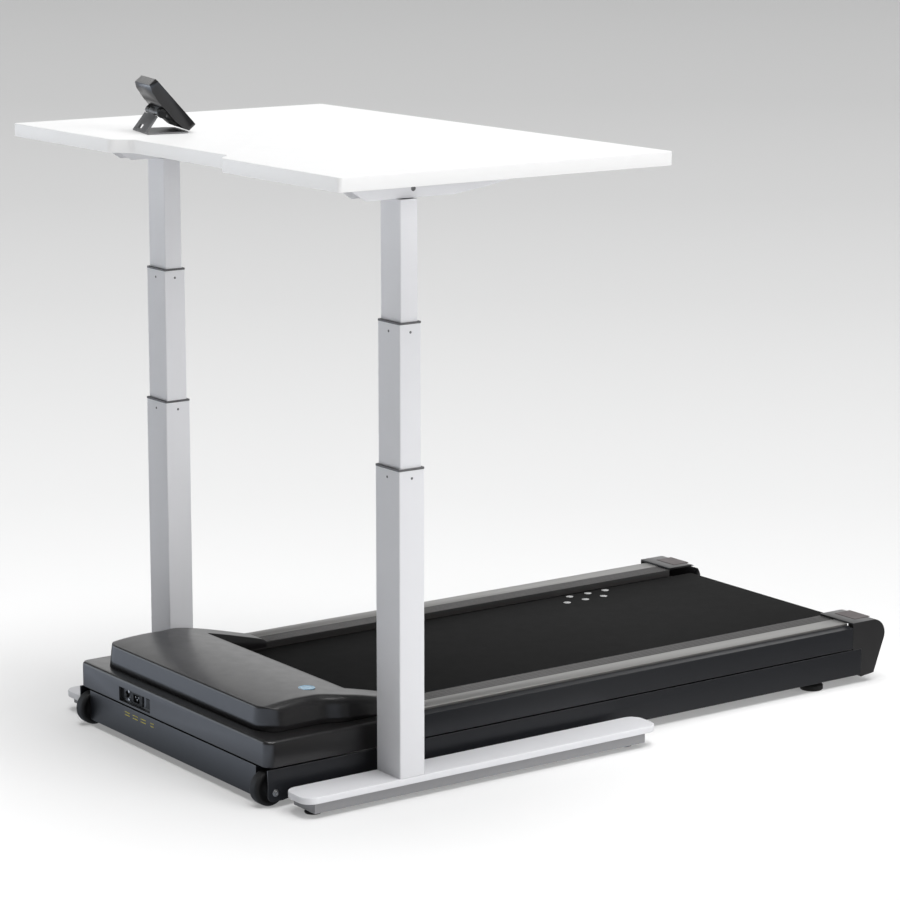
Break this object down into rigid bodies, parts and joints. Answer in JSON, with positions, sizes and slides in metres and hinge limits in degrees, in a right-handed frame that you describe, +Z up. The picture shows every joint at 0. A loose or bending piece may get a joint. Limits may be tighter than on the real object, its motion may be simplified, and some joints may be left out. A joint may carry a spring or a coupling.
{
  "type": "treadmill desk",
  "caption": "Flat walking treadmill between the telescopic columns of a sit-stand desk, with a small tilting console on the desktop.",
  "frame": {"origin": "on the floor, under the middle of the bounding box", "axes": "+X to the motor end of the treadmill, along its length; +Y to the left of a person who walks towards +X; +Z up"},
  "size_m": [1.61, 1.2192, 1.3358],
  "materials": {
    "cover_plastic": "satin moulded charcoal black",
    "frame_black": "fine-textured black powder coat",
    "rail": "anodised extrusion, ribbed on its inner half",
    "steel": "turned and brushed",
    "walking_belt": "fine woven top, matte",
    "black_rubber": "matte",
    "deck": "waxed fibreboard",
    "motor_grey": "satin enamel",
    "circuit": "green circuit board with grey parts",
    "column_white": "white powder coat",
    "channel_grey": "grey powder coat",
    "desktop_white": "white laminate on board, edge band to match",
    "stand_grey": "grey textured coat",
    "screen": "dark display window",
    "key_green": "satin",
    "key_red": "satin",
    "key_grey": "satin"
  },
  "bodies": {
    "chassis": {"side_panel_left": "frame_black", "side_panel_right": "frame_black", "front_panel": "frame_black", "side_band_left": "frame_black", "side_band_right": "frame_black", "foot_rail_left": "rail", "foot_rail_right": "rail", "cross_member_front": "frame_black", "cross_member_rear": "frame_black", "deck_board": "deck", "walking_belt": "walking_belt", "motor_shroud": "cover_plastic", "motor_hood": "cover_plastic", "end_cap_left": "cover_plastic", "end_cap_right": "cover_plastic", "front_axle": "steel", "rear_axle": "steel", "drive_belt": "black_rubber", "motor_body": "motor_grey", "motor_controller": "circuit", "motor_pan": "frame_black", "socket_plate": "cover_plastic", "power_inlet": "black_rubber", "outer_tube_left": "column_white", "outer_tube_right": "column_white", "foot_plate_left": "column_white", "foot_plate_right": "column_white", "foot_channel_left": "channel_grey", "foot_channel_right": "channel_grey"},
    "desk": {"desktop": "desktop_white", "support_arm_left": "column_white", "support_arm_right": "column_white", "crossbeam": "column_white", "control_box": "cover_plastic", "handset": "cover_plastic", "inner_tube_left": "column_white", "inner_tube_right": "column_white", "console_stand": "stand_grey"},
    "column_middle_left": {"middle_tube_left": "column_white"},
    "column_middle_right": {"middle_tube_right": "column_white"},
    "front_drum": {"front_roller": "steel"},
    "rear_drum": {"rear_roller": "steel"},
    "motor_shaft": {"motor_rotor": "steel"},
    "wheel_left": {"wheel_left": "black_rubber"},
    "wheel_right": {"wheel_right": "black_rubber"},
    "console_head": {"console_housing": "cover_plastic", "console_screen": "screen"},
    "start_key": {"start_button": "key_green"},
    "stop_key": {"stop_button": "key_red"},
    "slower_key": {"slower_button": "key_grey"},
    "faster_key": {"faster_button": "key_grey"},
    "power_rocker": {"power_switch": "black_rubber"},
    "breaker": {"breaker_button": "black_rubber"},
    "lift_rocker": {"handset_rocker": "black_rubber"},
    "rear_foot_left": {"rear_foot_left": "black_rubber"},
    "rear_foot_right": {"rear_foot_right": "black_rubber"},
    "front_glide_left": {"front_glide_left": "black_rubber"},
    "front_glide_right": {"front_glide_right": "black_rubber"},
    "rear_glide_left": {"rear_glide_left": "black_rubber"},
    "rear_glide_right": {"rear_glide_right": "black_rubber"}
  },
  "joints": [
    {"name": "desk_lift", "type": "slide", "parent": "chassis", "child": "desk", "axis": [0, 0, 1], "range_m": [-0.455, 0.045]},
    {"name": "column_middle_left_lift", "type": "slide", "parent": "chassis", "child": "column_middle_left", "axis": [0, 0, 1], "range_m": [-0.228, 0.023]},
    {"name": "column_middle_right_lift", "type": "slide", "parent": "chassis", "child": "column_middle_right", "axis": [0, 0, 1], "range_m": [-0.228, 0.023]},
    {"name": "front_drum_spin", "type": "hinge", "parent": "chassis", "child": "front_drum", "pos_m": [0.468, 0, 0.085], "axis": [0, 1, 0], "continuous": true},
    {"name": "rear_drum_spin", "type": "hinge", "parent": "chassis", "child": "rear_drum", "pos_m": [-0.767, 0, 0.085], "axis": [0, 1, 0], "continuous": true},
    {"name": "motor_spin", "type": "hinge", "parent": "chassis", "child": "motor_shaft", "pos_m": [0.626, 0, 0.092], "axis": [0, 1, 0], "continuous": true},
    {"name": "wheel_left_spin", "type": "hinge", "parent": "chassis", "child": "wheel_left", "pos_m": [0.77, 0.338, 0.035], "axis": [0, 1, 0], "continuous": true},
    {"name": "wheel_right_spin", "type": "hinge", "parent": "chassis", "child": "wheel_right", "pos_m": [0.77, -0.338, 0.035], "axis": [0, 1, 0], "continuous": true},
    {"name": "console_tilt", "type": "hinge", "parent": "desk", "child": "console_head", "pos_m": [0.628, -0.286, 1.267], "axis": [0.2419, 0.9703, 0], "range_deg": [0, 30]},
    {"name": "start_key_press", "type": "slide", "parent": "console_head", "child": "start_key", "axis": [0.7323, -0.1826, -0.6561], "range_m": [0, 0.0012], "stiffness_N_per_m": 300, "springref_m": -0.0006},
    {"name": "stop_key_press", "type": "slide", "parent": "console_head", "child": "stop_key", "axis": [0.7323, -0.1826, -0.6561], "range_m": [0, 0.0012], "stiffness_N_per_m": 300, "springref_m": -0.0006},
    {"name": "slower_key_press", "type": "slide", "parent": "console_head", "child": "slower_key", "axis": [0.7323, -0.1826, -0.6561], "range_m": [0, 0.0012], "stiffness_N_per_m": 300, "springref_m": -0.0006},
    {"name": "faster_key_press", "type": "slide", "parent": "console_head", "child": "faster_key", "axis": [0.7323, -0.1826, -0.6561], "range_m": [0, 0.0012], "stiffness_N_per_m": 300, "springref_m": -0.0006},
    {"name": "power_rocker_tip", "type": "hinge", "parent": "chassis", "child": "power_rocker", "pos_m": [0.7776, -0.0955, 0.0985], "axis": [0, 1, 0], "range_deg": [0, 10]},
    {"name": "breaker_press", "type": "slide", "parent": "chassis", "child": "breaker", "axis": [-1, 0, 0], "range_m": [0, 0.003], "stiffness_N_per_m": 300, "springref_m": -0.001},
    {"name": "lift_rocker_tip", "type": "hinge", "parent": "desk", "child": "lift_rocker", "pos_m": [0.0284, -0.47, 1.1876], "axis": [0, 0, 1], "range_deg": [-6, 6], "stiffness_Nm_per_rad": 0.15},
    {"name": "rear_foot_left_level", "type": "slide", "parent": "chassis", "child": "rear_foot_left", "axis": [0, 0, 1], "range_m": [-0.012, 0]},
    {"name": "rear_foot_right_level", "type": "slide", "parent": "chassis", "child": "rear_foot_right", "axis": [0, 0, 1], "range_m": [-0.012, 0]},
    {"name": "front_glide_left_level", "type": "slide", "parent": "chassis", "child": "front_glide_left", "axis": [0, 0, 1], "range_m": [-0.012, 0]},
    {"name": "front_glide_right_level", "type": "slide", "parent": "chassis", "child": "front_glide_right", "axis": [0, 0, 1], "range_m": [-0.012, 0]},
    {"name": "rear_glide_left_level", "type": "slide", "parent": "chassis", "child": "rear_glide_left", "axis": [0, 0, 1], "range_m": [-0.012, 0]},
    {"name": "rear_glide_right_level", "type": "slide", "parent": "chassis", "child": "rear_glide_right", "axis": [0, 0, 1], "range_m": [-0.012, 0]}
  ],
  "couplings": [
    {"joint": "column_middle_left_lift", "follows": "desk_lift", "ratio": 0.5},
    {"joint": "column_middle_right_lift", "follows": "desk_lift", "ratio": 0.5},
    {"joint": "rear_drum_spin", "follows": "front_drum_spin", "ratio": 1},
    {"joint": "motor_spin", "follows": "front_drum_spin", "ratio": 2}
  ]
}
